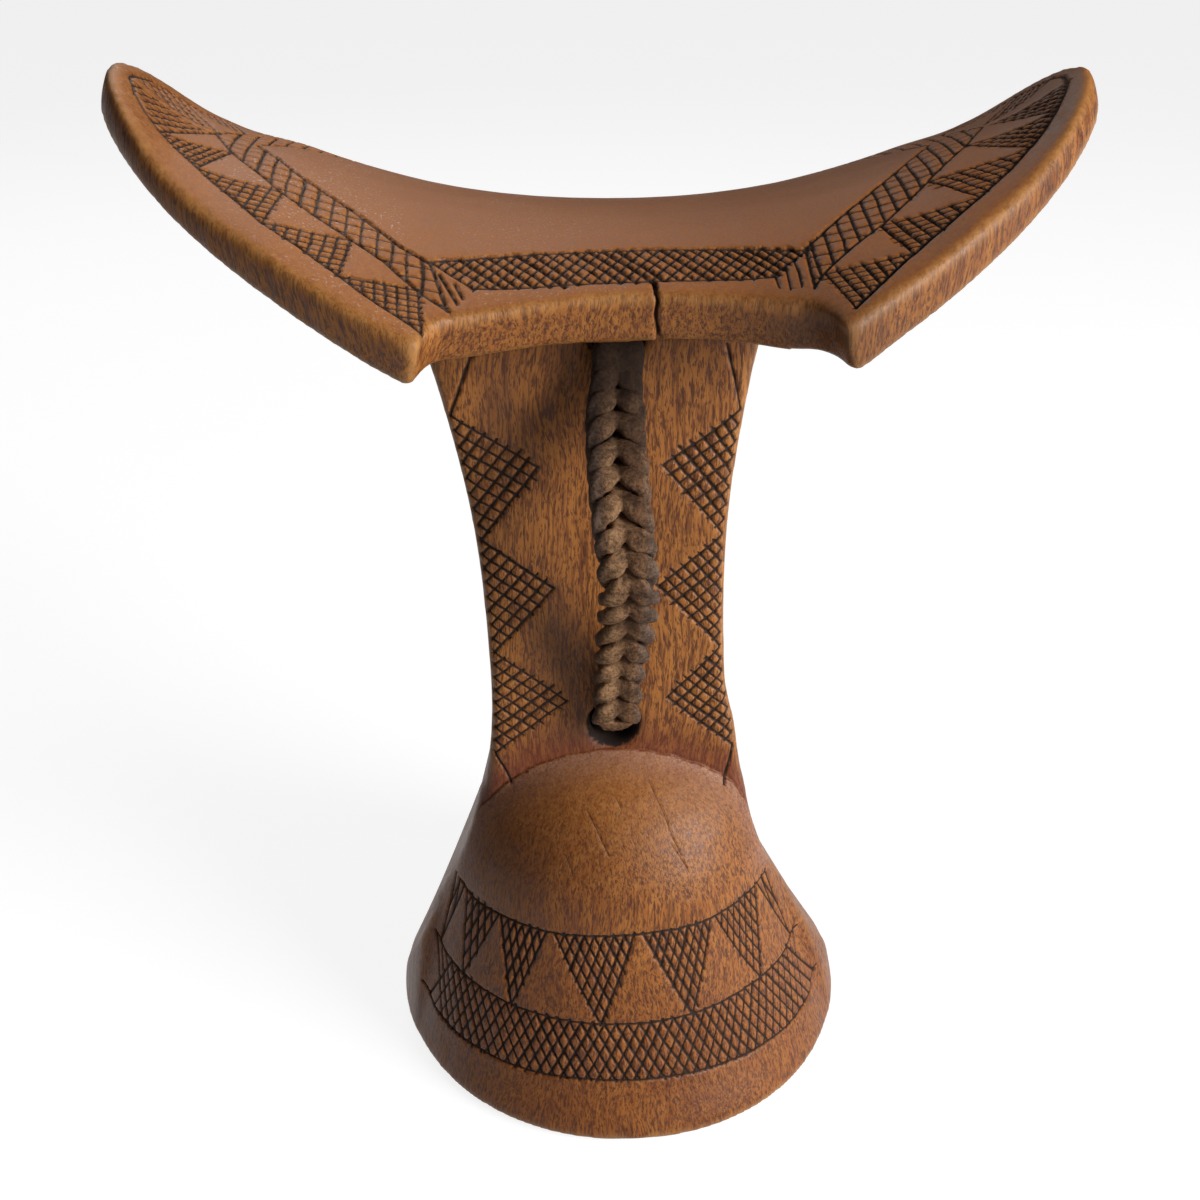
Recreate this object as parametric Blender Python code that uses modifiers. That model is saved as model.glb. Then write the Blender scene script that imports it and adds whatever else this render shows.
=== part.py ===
"""Carved wooden headrest with a plaited leather carrying strap.

Units are metres and +Z is up. The foot stands on z = 0 and the strap hangs on the -Y side.
The block is hand carved: its column leans a little and its dish is slightly twisted.
"""
import math

import bmesh
import bpy
import numpy as np
from mathutils import Matrix, Vector

# Dish: a saddle, hollow along X for the neck and rounded over along Y
TIP_HEIGHT = 0.170
SPAN = 0.1405
DISH_SAG = 0.0192
DISH_POWER = 2.13
CROWN_DROP = 0.0062
PLATE_THICKNESS = 0.0084
TIP_THICKNESS = 0.0050
CORNER_X = 0.0275
PLATE_HALF_DEPTH = 0.0392
NOTCH_DEPTH = 0.0096
NOTCH_BOW = 0.0035
NOTCH_FILLET = 0.0055
NOTCH_FILLET_ANGLE = math.radians(72.0)
NOSE_POWER = 1.14
NOSE_BLEND = 4
RIM_ROUND = 0.0016
RIM_ANGLE = math.radians(50.0)
CARVED_TWIST = 0.9
EDGE_DROOP = 0.0012
DROOP_X = 0.0215
DROOP_WIDTH = 0.0110
DROOP_POWER = 3

# Column: a slab that flares to the foot and to the dish
SLAB_THICKNESS = 0.030
SLAB_EDGE_ROUND = 0.0018
BACK_TAPER = 0.19
FLARE_HALF_WIDTH = 0.0495
SKIRT_HALF_WIDTH = 0.0352
SKIRT_HEIGHT = 0.0255
HIP_HALF_WIDTH = 0.0232
HIP_HEIGHT = 0.052
WAIST_HALF_WIDTH = 0.0194
WAIST_HEIGHT = 0.087
NECK_HALF_WIDTH = 0.0234
NECK_HEIGHT = 0.127
COLUMN_TOP_HALF_WIDTH = 0.0290
BURY_SHARE = 0.55
COLUMN_LEAN = 0.0075
FOOT_SHIFT = 0.0025

# Foot: a bell with a domed top, which shows as half a dome on each face of the slab
FOOT_RADIUS = 0.0425
FOOT_EDGE_ROUND = 0.0007
TRIM_RADIUS = 0.0366
SHOULDER_RADIUS = 0.0332
SHOULDER_HEIGHT = 0.0370
DOME_RISE = 0.0305
DOME_POWER = 1.8
BELL_PROUD = 0.0005

# Strap holes
HOLE_RADIUS = 0.0042
UPPER_HOLE_MARGIN = 0.0014
LOWER_HOLE_MARGIN = 0.0004

# Strap: two slit thongs, each drawn through the slits of the other
LEG_RADIUS = 0.00095
LEAVES = 15
THROAT_SHARE = 0.75
STRAP_BOW = 0.0145
BOW_SKEW = 1.4
STRAP_OVERRUN = 0.0020
UPPER_BAND = 0.0140
LOWER_BAND = 0.0080
BAND_HALF_WIDTH = 0.0036
BAND_HALF_DEPTH = 0.0019
BAND_END_RADIUS = 0.0021
BAND_TAPER = 0.0020

# Tails in the holes, with a stopper knot behind the column
STEM_RADIUS = 0.0024
STEM_PROUD = 0.0015
KNOT_RADIUS = 0.0070
KNOT_HALF_THICKNESS = 0.0046
KNOT_OFFSET = 0.0036
TAIL_RADIUS = 0.0013
TAIL_SPREAD = 0.0042
TAIL_REACH = 0.019
TAIL_TURN = math.radians(52.0)
TAIL_DROP = 0.0095

# Clearances
PIECE_GAP = 0.0003
THONG_GAP = 0.0003
CUT_OVERRUN = 0.0010

# Facets
NOTCH_STEPS = 4
FILLET_STEPS = 5
WING_STEPS = 15
PLATE_LANES = 10
NOSE_ANGLE = math.radians(70.0)
TURNED_STEPS = 72
DOME_STEPS = 10
HOLE_STEPS = 24
POINTS_PER_LEAF = 7
BAND_SIDES = 24
LINE_STEPS = 400
KNOT_SEGMENTS = 20
KNOT_RINGS = 12
TAIL_STEPS = 5
MERGE_DISTANCE = 0.00001

# Places worked out from the sizes above
HALF_SPAN = SPAN / 2
WING_LENGTH = HALF_SPAN - CORNER_X
NOTCH_HALF_DEPTH = PLATE_HALF_DEPTH - NOTCH_DEPTH
DISH_HEIGHT = TIP_HEIGHT - DISH_SAG
CROWN_CURVE = CROWN_DROP / NOTCH_HALF_DEPTH ** 2
SLAB_HALF = SLAB_THICKNESS / 2
UNDERSIDE_AT_FACE = DISH_HEIGHT - CROWN_CURVE * SLAB_HALF ** 2 - PLATE_THICKNESS
COLUMN_TOP = DISH_HEIGHT - BURY_SHARE * PLATE_THICKNESS
LEAN_SLOPE = COLUMN_LEAN / DISH_HEIGHT
CONE_SLOPE = (FOOT_RADIUS - SHOULDER_RADIUS) / SHOULDER_HEIGHT
DOME_AT_FACE = SHOULDER_HEIGHT + DOME_RISE * (
    1 - (SLAB_HALF / SHOULDER_RADIUS) ** DOME_POWER) ** (1 / DOME_POWER)
UPPER_HOLE = UNDERSIDE_AT_FACE - UPPER_HOLE_MARGIN - HOLE_RADIUS
LOWER_HOLE = DOME_AT_FACE + LOWER_HOLE_MARGIN + HOLE_RADIUS
LEG_NEAR = THROAT_SHARE * LEG_RADIUS
LEG_FAR = LEG_NEAR + 2 * LEG_RADIUS + THONG_GAP
LEG_SWAY = (LEG_FAR - LEG_NEAR) / 2
PLAIT_WAVE = LEG_RADIUS + THONG_GAP / 2
PIVOT_Y = -(SLAB_HALF + STEM_PROUD + PIECE_GAP + BAND_END_RADIUS)
BAND_NECK = STRAP_OVERRUN + STEM_RADIUS + PIECE_GAP

WOOD = (0.36, 0.19, 0.085, 1.0)
LEATHER = (0.15, 0.095, 0.06, 1.0)


def clear_scene():
    """Remove every object of the open scene."""
    for obj in list(bpy.data.objects):
        bpy.data.objects.remove(obj, do_unlink=True)


def add_collection(name):
    """Make a collection in the scene."""
    collection = bpy.data.collections.new(name)
    bpy.context.scene.collection.children.link(collection)
    return collection


def add_object(name, data, collection):
    """Make an object from mesh or curve data, or an empty from None."""
    obj = bpy.data.objects.new(name, data)
    collection.objects.link(obj)
    return obj


def add_material(obj, color, roughness):
    """Give an object a Principled material of its own."""
    material = bpy.data.materials.new(obj.name)
    material.use_nodes = True
    shader = material.node_tree.nodes["Principled BSDF"]
    shader.inputs["Base Color"].default_value = color
    shader.inputs["Roughness"].default_value = roughness
    shader.inputs["Metallic"].default_value = 0.0
    obj.data.materials.append(material)


def add_tool(name, data, collection):
    """Make a hidden object that cuts or joins another."""
    obj = add_object(name, data, collection)
    obj.display_type = "WIRE"
    obj.hide_render = True
    return obj


def add_boolean(obj, tool, operation):
    """Cut, trim or join an object with a tool."""
    modifier = obj.modifiers.new(tool.name, "BOOLEAN")
    modifier.operation = operation
    modifier.solver = "EXACT"
    modifier.object = tool


def baked_mesh(obj, name):
    """Mesh of an object with its modifiers applied, in world coordinates."""
    bpy.context.view_layer.update()
    graph = bpy.context.evaluated_depsgraph_get()
    mesh = bpy.data.meshes.new_from_object(obj.evaluated_get(graph))
    mesh.name = name
    mesh.transform(obj.matrix_world)
    work = bmesh.new()
    work.from_mesh(mesh)
    bmesh.ops.remove_doubles(work, verts=work.verts, dist=MERGE_DISTANCE)
    bmesh.ops.recalc_face_normals(work, faces=work.faces)
    work.to_mesh(mesh)
    work.free()
    return mesh


def top_height(x, y):
    """Height of the dish's upper face."""
    rise = DISH_SAG * (abs(x) / HALF_SPAN) ** DISH_POWER
    nearness = math.exp(-((abs(x) - DROOP_X) / DROOP_WIDTH) ** 2)
    droop = EDGE_DROOP * nearness * min(abs(y) / NOTCH_HALF_DEPTH, 1.0) ** DROOP_POWER
    return DISH_HEIGHT + rise - CROWN_CURVE * y * y - CARVED_TWIST * x * y - droop


def rim_station(step, lane):
    """Distance along X and half depth of the plate, a number of steps from its middle."""
    if step <= NOTCH_STEPS:
        share = step / NOTCH_STEPS
        return (CORNER_X - NOTCH_FILLET) * share, NOTCH_HALF_DEPTH + NOTCH_BOW * share ** 2
    if step <= NOTCH_STEPS + FILLET_STEPS:
        angle = NOTCH_FILLET_ANGLE * (step - NOTCH_STEPS) / FILLET_STEPS
        along = CORNER_X - NOTCH_FILLET * (1 - math.sin(angle) / math.sin(NOTCH_FILLET_ANGLE))
        swell = (1 - math.cos(angle)) / (1 - math.cos(NOTCH_FILLET_ANGLE))
        return along, NOTCH_HALF_DEPTH + NOTCH_BOW + (NOTCH_DEPTH - NOTCH_BOW) * swell
    share = (step - NOTCH_STEPS - FILLET_STEPS) / WING_STEPS
    angle = NOSE_ANGLE * share
    nose_edge = math.sin(NOSE_ANGLE) ** (2 / NOSE_POWER)
    nose_lane = (1 - (lane * math.cos(NOSE_ANGLE)) ** 2) ** (1 / NOSE_POWER)
    reach = math.sin(angle) ** (2 / NOSE_POWER) + (nose_lane - nose_edge) * share ** NOSE_BLEND
    return CORNER_X + WING_LENGTH * reach, PLATE_HALF_DEPTH * math.cos(angle)


def make_plate(name, collection):
    """Dish: a grid drawn to the carved outline and saddle, then thickened and rounded."""
    half_steps = NOTCH_STEPS + FILLET_STEPS + WING_STEPS
    work = bmesh.new()
    bmesh.ops.create_grid(work, x_segments=2 * half_steps, y_segments=PLATE_LANES, size=1.0)
    for vert in work.verts:
        side, lane = vert.co.x, vert.co.y
        along, half_depth = rim_station(round(abs(side) * half_steps), lane)
        x = math.copysign(along, side)
        y = lane * half_depth
        vert.co = (x, y, top_height(x, y))
    mesh = bpy.data.meshes.new(name)
    work.to_mesh(mesh)
    work.free()
    plate = add_object(name, mesh, collection)
    taper = plate.vertex_groups.new(name="thickness")
    for vert in mesh.vertices:
        thinning = (PLATE_THICKNESS - TIP_THICKNESS) * min(abs(vert.co.x) / HALF_SPAN, 1.0)
        taper.add([vert.index], 1 - thinning / PLATE_THICKNESS, "REPLACE")
    shell = plate.modifiers.new("thickness", "SOLIDIFY")
    shell.vertex_group = taper.name
    shell.thickness = PLATE_THICKNESS
    shell.offset = -1.0
    shell.use_even_offset = True
    rounding = plate.modifiers.new("worn rim", "BEVEL")
    rounding.width = RIM_ROUND
    rounding.segments = 2
    rounding.limit_method = "ANGLE"
    rounding.angle_limit = RIM_ANGLE
    return plate


def column_outline(name, half_thickness, edge_round, growth, tools):
    """Front outline of the column as a filled curve, extruded along Y and drawn in to the back."""
    right = [
        (FLARE_HALF_WIDTH, -CUT_OVERRUN),
        (SKIRT_HALF_WIDTH, SKIRT_HEIGHT),
        (HIP_HALF_WIDTH, HIP_HEIGHT),
        (WAIST_HALF_WIDTH, WAIST_HEIGHT),
        (NECK_HALF_WIDTH, NECK_HEIGHT),
        (COLUMN_TOP_HALF_WIDTH, COLUMN_TOP),
    ]
    left = [(-half, height) for half, height in reversed(right)]
    curve = bpy.data.curves.new(name, "CURVE")
    curve.dimensions = "2D"
    curve.fill_mode = "BOTH"
    curve.extrude = half_thickness - edge_round
    curve.bevel_depth = edge_round
    curve.bevel_resolution = 1
    curve.offset = growth - edge_round
    curve.resolution_u = 8
    spline = curve.splines.new("BEZIER")
    spline.bezier_points.add(len(right + left) - 1)
    spline.use_cyclic_u = True
    for point, (half, height) in zip(spline.bezier_points, right + left):
        point.co = (half, height, 0.0)
        is_end = height in (right[0][1], right[-1][1])
        point.handle_left_type = "VECTOR" if is_end else "AUTO"
        point.handle_right_type = "VECTOR" if is_end else "AUTO"
    drawn = add_object(name, curve, tools)
    drawn.rotation_euler = (math.radians(90.0), 0.0, 0.0)
    mesh = baked_mesh(drawn, name)
    bpy.data.objects.remove(drawn, do_unlink=True)
    for vert in mesh.vertices:
        vert.co.x *= 1 - BACK_TAPER * (vert.co.y + SLAB_HALF) / SLAB_THICKNESS
    return add_tool(name, mesh, tools)


def make_turned(name, profile, tools):
    """Solid turned about Z from a profile of radius and height, from axis to axis."""
    work = bmesh.new()
    verts = [work.verts.new((radius, 0.0, height)) for radius, height in profile]
    for upper, lower in zip(verts, verts[1:]):
        work.edges.new((upper, lower))
    mesh = bpy.data.meshes.new(name)
    work.to_mesh(mesh)
    work.free()
    turned = add_tool(name, mesh, tools)
    turn = turned.modifiers.new("turned", "SCREW")
    turn.steps = TURNED_STEPS
    turn.render_steps = TURNED_STEPS
    turn.use_merge_vertices = True
    turn.merge_threshold = MERGE_DISTANCE
    return turned


def make_bell(name, tools):
    """Foot: a cone under a dome."""
    profile = [(0.0, SHOULDER_HEIGHT + DOME_RISE)]
    for step in range(1, DOME_STEPS + 1):
        angle = math.radians(90.0) * step / DOME_STEPS
        radius = SHOULDER_RADIUS * math.sin(angle) ** (2 / DOME_POWER)
        rise = DOME_RISE * max(math.cos(angle), 0.0) ** (2 / DOME_POWER)
        profile.append((radius, SHOULDER_HEIGHT + rise))
    profile.append((FOOT_RADIUS + CONE_SLOPE * CUT_OVERRUN, -CUT_OVERRUN))
    profile.append((0.0, -CUT_OVERRUN))
    return make_turned(name, profile, tools)


def make_foot_trim(name, tools):
    """Round envelope that ends the flared column and the bell on one flat, rounded foot."""
    profile = [
        (0.0, TIP_HEIGHT),
        (TRIM_RADIUS, TIP_HEIGHT),
        (TRIM_RADIUS, SHOULDER_HEIGHT),
        (FOOT_RADIUS, FOOT_EDGE_ROUND),
        (FOOT_RADIUS - FOOT_EDGE_ROUND, 0.0),
        (0.0, 0.0),
    ]
    return make_turned(name, profile, tools)


def make_column(tools):
    """Column and foot together, leaned sideways as the carver left them."""
    slab = column_outline("slab", SLAB_HALF, SLAB_EDGE_ROUND, 0.0, tools)
    bell = make_bell("bell", tools)
    bell_trim = column_outline("bell_trim", FOOT_RADIUS + CUT_OVERRUN, 0.0, BELL_PROUD, tools)
    add_boolean(bell, bell_trim, "INTERSECT")
    add_boolean(slab, bell, "UNION")
    add_boolean(slab, make_foot_trim("foot_trim", tools), "INTERSECT")
    mesh = baked_mesh(slab, "column")
    lean = Matrix.Identity(4)
    lean[0][2] = -LEAN_SLOPE
    lean[0][3] = FOOT_SHIFT
    mesh.transform(lean)
    return add_tool("column", mesh, tools)


def add_cylinder_along_y(name, radius, front, back, height, tools):
    """Hidden cylinder along Y at a height on the middle line."""
    bpy.ops.mesh.primitive_cylinder_add(vertices=HOLE_STEPS, radius=radius, depth=back - front)
    made = bpy.context.object
    mesh = made.data
    bpy.data.objects.remove(made, do_unlink=True)
    mesh.transform(Matrix.Rotation(math.radians(90.0), 4, "X"))
    mesh.transform(Matrix.Translation((0, (front + back) / 2, height)))
    return add_tool(name, mesh, tools)


def make_body(parts, tools):
    """Headrest body: dish, column and foot in one block, with two strap holes."""
    body = make_plate("headrest_body", parts)
    add_boolean(body, make_column(tools), "UNION")
    reach = SLAB_HALF + CUT_OVERRUN
    for name, height in (("upper_hole", UPPER_HOLE), ("lower_hole", LOWER_HOLE)):
        hole = add_cylinder_along_y(name, HOLE_RADIUS, -reach, reach, height, tools)
        add_boolean(body, hole, "DIFFERENCE")
    add_material(body, WOOD, 0.45)
    return body


class StrapLine:
    """Middle line of the strap, local to its pivot: straight at its two necks, bowed most above its middle."""

    def __init__(self):
        bottom = LOWER_HOLE - STRAP_OVERRUN
        top = UPPER_HOLE + STRAP_OVERRUN
        self.z = np.linspace(bottom, top, LINE_STEPS)
        share = (self.z - bottom - BAND_NECK) / (top - bottom - 2 * BAND_NECK)
        self.y = -STRAP_BOW * np.sin(math.pi * np.clip(share, 0.0, 1.0) ** BOW_SKEW) ** 2
        steps = np.hypot(np.diff(self.y), np.diff(self.z))
        self.along = np.concatenate(([0.0], np.cumsum(steps)))
        self.length = self.along[-1]

    def frame(self, distance):
        """Place on the line, with the directions across, outward and ahead as columns."""
        y = np.interp(distance, self.along, self.y)
        z = np.interp(distance, self.along, self.z)
        slope = np.interp(distance, self.along, np.gradient(self.y, self.along))
        ahead = Vector((0.0, slope, math.sqrt(max(1.0 - slope * slope, 0.0))))
        across = Vector((1.0, 0.0, 0.0))
        outward = across.cross(ahead)
        turn = Matrix((across, outward, ahead)).transposed().to_4x4()
        return Matrix.Translation((0.0, y, z)) @ turn


def make_leg(name, line, hand, side, first, last, tools):
    """One leg of a slit thong: drawn in at the throat, spread where the other thong comes through."""
    curve = bpy.data.curves.new(name, "CURVE")
    curve.dimensions = "3D"
    curve.bevel_depth = LEG_RADIUS
    curve.bevel_resolution = 1
    curve.use_fill_caps = True
    pitch = (line.length - LOWER_BAND - UPPER_BAND) / LEAVES
    # The right leg has one more point, so that no edges of the two legs fall together
    count = round((last - first) / pitch * POINTS_PER_LEAF) + (side > 0)
    spline = curve.splines.new("POLY")
    spline.points.add(count)
    for point, distance in zip(spline.points, np.linspace(first, last, count + 1)):
        phase = math.pi * (distance - LOWER_BAND) / pitch
        across = side * (LEG_NEAR + LEG_SWAY * (1 - hand * math.cos(phase)))
        outward = -hand * PLAIT_WAVE * math.sin(phase)
        point.co = (*(line.frame(distance) @ Vector((across, outward, 0.0))), 1.0)
    drawn = add_object(name, curve, tools)
    mesh = baked_mesh(drawn, name)
    bpy.data.objects.remove(drawn, do_unlink=True)
    return mesh


def make_band(name, line, tip, inner, tools):
    """Plain end of a thong, lofted from a round neck at its hole to a flat strap."""
    heading = math.copysign(1.0, inner - tip)
    stations = [
        (tip, BAND_END_RADIUS, BAND_END_RADIUS),
        (tip + heading * BAND_NECK, BAND_END_RADIUS, BAND_END_RADIUS),
        (tip + heading * (BAND_NECK + BAND_TAPER), BAND_HALF_WIDTH, BAND_HALF_DEPTH),
        ((tip + heading * (BAND_NECK + BAND_TAPER) + inner) / 2, BAND_HALF_WIDTH, BAND_HALF_DEPTH),
        (inner, BAND_HALF_WIDTH, BAND_HALF_DEPTH),
    ]
    work = bmesh.new()
    edges = []
    for distance, half_width, half_depth in stations:
        shape = line.frame(distance) @ Matrix.Diagonal((half_width, half_depth, 1.0, 1.0))
        ring = bmesh.ops.create_circle(work, segments=BAND_SIDES, radius=1.0, matrix=shape)["verts"]
        edges.append({edge for vert in ring for edge in vert.link_edges})
    for ring, following in zip(edges, edges[1:]):
        bmesh.ops.bridge_loops(work, edges=list(ring | following))
    bmesh.ops.holes_fill(work, edges=work.edges)
    bmesh.ops.recalc_face_normals(work, faces=work.faces)
    mesh = bpy.data.meshes.new(name)
    work.to_mesh(mesh)
    work.free()
    return add_tool(name, mesh, tools)


def make_thong(name, line, hand, pivot, parts, tools):
    """One slit thong: two legs that join at each throat, and the plain band at one end."""
    plait_top = line.length - UPPER_BAND
    short = LEG_RADIUS + THONG_GAP
    if hand > 0:
        first, last = LOWER_BAND + short, plait_top + LEG_RADIUS
        band = make_band(name + "_band", line, line.length, plait_top, tools)
    else:
        first, last = LOWER_BAND - LEG_RADIUS, plait_top - short
        band = make_band(name + "_band", line, 0.0, LOWER_BAND, tools)
    left = make_leg(name, line, hand, -1, first, last, tools)
    right = make_leg(name + "_right", line, hand, 1, first, last, tools)
    thong = add_object(name, left, parts)
    right_leg = add_tool(name + "_right", right, tools)
    for tool in (right_leg, band):
        tool.parent = pivot
        add_boolean(thong, tool, "UNION")
    thong.parent = pivot
    add_material(thong, LEATHER, 0.7)
    return thong


def make_strap(parts, tools):
    """Slit-plaited strap, on an empty at the line that the strap swings about."""
    pivot = add_object("strap_pivot", None, parts)
    pivot.location = (0.0, PIVOT_Y, 0.0)
    line = StrapLine()
    make_thong("upper_thong", line, 1, pivot, parts, tools)
    make_thong("lower_thong", line, -1, pivot, parts, tools)


def make_tail(name, height, offset, parts, tools):
    """Tail of the strap: a stem in its hole, a stopper knot and two loose ends behind."""
    knot_y = SLAB_HALF + PIECE_GAP + KNOT_HALF_THICKNESS
    knot_z = height + offset
    stem = add_cylinder_along_y(
        name + "_stem", STEM_RADIUS, -(SLAB_HALF + STEM_PROUD), knot_y, height, tools)
    work = bmesh.new()
    bmesh.ops.create_uvsphere(work, u_segments=KNOT_SEGMENTS, v_segments=KNOT_RINGS, radius=1.0)
    shape = Matrix.Diagonal((KNOT_RADIUS, KNOT_HALF_THICKNESS, KNOT_RADIUS, 1.0))
    bmesh.ops.transform(work, verts=work.verts, matrix=Matrix.Translation((0, knot_y, knot_z)) @ shape)
    mesh = bpy.data.meshes.new(name)
    work.to_mesh(mesh)
    work.free()
    tail = add_object(name, mesh, parts)
    add_boolean(tail, stem, "UNION")
    for side in (-1, 1):
        add_boolean(tail, make_loose_end(name, side, knot_y, knot_z, tools), "UNION")
    add_material(tail, LEATHER, 0.75)
    return tail


def make_loose_end(name, side, knot_y, knot_z, tools):
    """One cut end of thong that leaves the knot and hangs to its side."""
    curve = bpy.data.curves.new(f"{name}_end_{side}", "CURVE")
    curve.dimensions = "3D"
    curve.bevel_depth = TAIL_RADIUS
    curve.bevel_resolution = 1
    curve.use_fill_caps = True
    spline = curve.splines.new("POLY")
    spline.points.add(TAIL_STEPS)
    for step, point in enumerate(spline.points):
        share = step / TAIL_STEPS
        x = side * (TAIL_SPREAD + TAIL_REACH * math.sin(TAIL_TURN * share))
        z = knot_z - TAIL_DROP * share * share
        point.co = (x, knot_y, z, 1.0)
    drawn = add_object(curve.name, curve, tools)
    mesh = baked_mesh(drawn, curve.name)
    bpy.data.objects.remove(drawn, do_unlink=True)
    return add_tool(curve.name, mesh, tools)


def main():
    """Build the headrest."""
    clear_scene()
    parts = add_collection("carved_wooden_headrest")
    tools = add_collection("construction_tools")
    make_body(parts, tools)
    make_strap(parts, tools)
    make_tail("upper_knot", UPPER_HOLE, -KNOT_OFFSET, parts, tools)
    make_tail("lower_knot", LOWER_HOLE, KNOT_OFFSET, parts, tools)


main()
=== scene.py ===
"""Looks of the carved headrest: worn wood with cut lines, a slit-plaited strap and its two knots."""

import math

import bmesh
import bpy
import numpy as np
from mathutils import Matrix, Vector, noise
from mathutils.bvhtree import BVHTree


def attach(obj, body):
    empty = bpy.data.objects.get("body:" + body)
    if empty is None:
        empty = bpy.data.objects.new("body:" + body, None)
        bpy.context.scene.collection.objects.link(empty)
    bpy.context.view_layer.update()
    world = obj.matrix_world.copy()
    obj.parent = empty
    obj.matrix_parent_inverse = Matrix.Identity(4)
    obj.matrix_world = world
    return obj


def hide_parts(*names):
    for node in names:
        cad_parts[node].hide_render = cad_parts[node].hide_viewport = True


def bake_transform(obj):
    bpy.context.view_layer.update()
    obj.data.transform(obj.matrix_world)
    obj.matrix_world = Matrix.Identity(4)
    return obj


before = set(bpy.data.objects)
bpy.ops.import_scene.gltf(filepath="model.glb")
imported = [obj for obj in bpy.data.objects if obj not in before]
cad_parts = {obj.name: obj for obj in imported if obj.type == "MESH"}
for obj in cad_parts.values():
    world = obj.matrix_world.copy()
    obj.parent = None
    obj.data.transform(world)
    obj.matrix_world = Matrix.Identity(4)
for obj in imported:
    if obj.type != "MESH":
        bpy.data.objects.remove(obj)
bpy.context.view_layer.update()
MM = 0.001

# Body form, in metres, with how often its skin is smoothed
BODY_FINE_VOXEL = 0.00045
BODY_ROUNDING = 24
BODY_VOXEL = 0.00070
BODY_SMOOTHING = 6
SOFTEN_SHARE = 0.5
BEND_ROUNDS = 2
COLUMN_FOOT_X = 0.0025
COLUMN_LEAN = 0.0497
COLUMN_BACK_Y = 0.0150

# Where the real block departs from the even solid, in metres: left and right, or one number for both
TIP_LIFT = (0.0035, 0.0020)
WING_SAG = (0.0012, 0.0008)
FRONT_SAG = (0.0008, 0.0016)
RIM_DROP = (0.0006, 0.0012)
LEFT_REACH = 0.0010
COLUMN_WIDER = 0.0014
COLUMN_LEAST = 0.65
SHOULDER_WIDER = 0.0009
FOOT_NARROWER = 0.0013
FOOT_FORWARD = 0.0012
RIM_PULL = 0.97
THINNEST = 0.0020

# Zones of these departures, in metres: each starts at its first number and is full from its second
DISH_FROM = (0.112, 0.130)
TIP_OUT = (0.0595, 0.0725)
SAG_OUT = (0.046, 0.057)
FRONT_OUT = (0.018, 0.045)
FRONT_AHEAD = (0.0, 0.030)
RIM_OUT = (0.010, 0.024)
RIM_WING = (0.034, 0.046)
RIM_AHEAD = (0.016, 0.024)
REACH_LEFT = (0.040, 0.070)
COLUMN_ABOVE = (0.050, 0.068)
COLUMN_BELOW = (0.150, 0.135)
COLUMN_WITHIN = (0.040, 0.028)
COLUMN_RIGHT = (0.004, 0.016)
COLUMN_FULL = (0.070, 0.130)
SHOULDER_RIGHT = (0.010, 0.020)
SHOULDER_ABOVE = (0.047, 0.057)
SHOULDER_BELOW = (0.076, 0.065)
FOOT_RIGHT = (0.012, 0.025)
FOOT_ABOVE = (0.008, 0.025)
FOOT_BELOW = (0.056, 0.040)
TOE_AHEAD = (0.012, 0.040)
TOE_BELOW = (0.0105, 0.001)

# Cut lines: width and depth in metres, and how dark they are painted, which is painted shade in the groove
STRONG = (0.00092, 0.00048, 1.0)
PLAIN = (0.00078, 0.00040, 1.0)
FINE = (0.00062, 0.00030, 1.0)
RUNG = (0.00068, 0.00036, 1.0)
HAIR = (0.00042, 0.00010, 0.55)
SEAM = (0.00110, 0.00030, 0.2)
CRACK = (0.00070, 0.00090, 1.0)

# How the lines are cut, in metres
LINE_PIECE = 0.0040
CUT_REACH = 0.0013
CUT_LEVEL = 0.0018
GRID = 0.0020
SNAP = 0.00002
HAND_WOBBLE = 0.00010
HAND_PRESS = (0.80, 1.20)
OVERSHOOT = 0.07
WOBBLE_SEED = 7

# How far away the rays start that find a point on the body, in metres
RAY_ABOVE = 0.30
RAY_BEFORE = 0.20
RAY_AROUND = 0.08
RAY_BESIDE = 0.10

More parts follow.
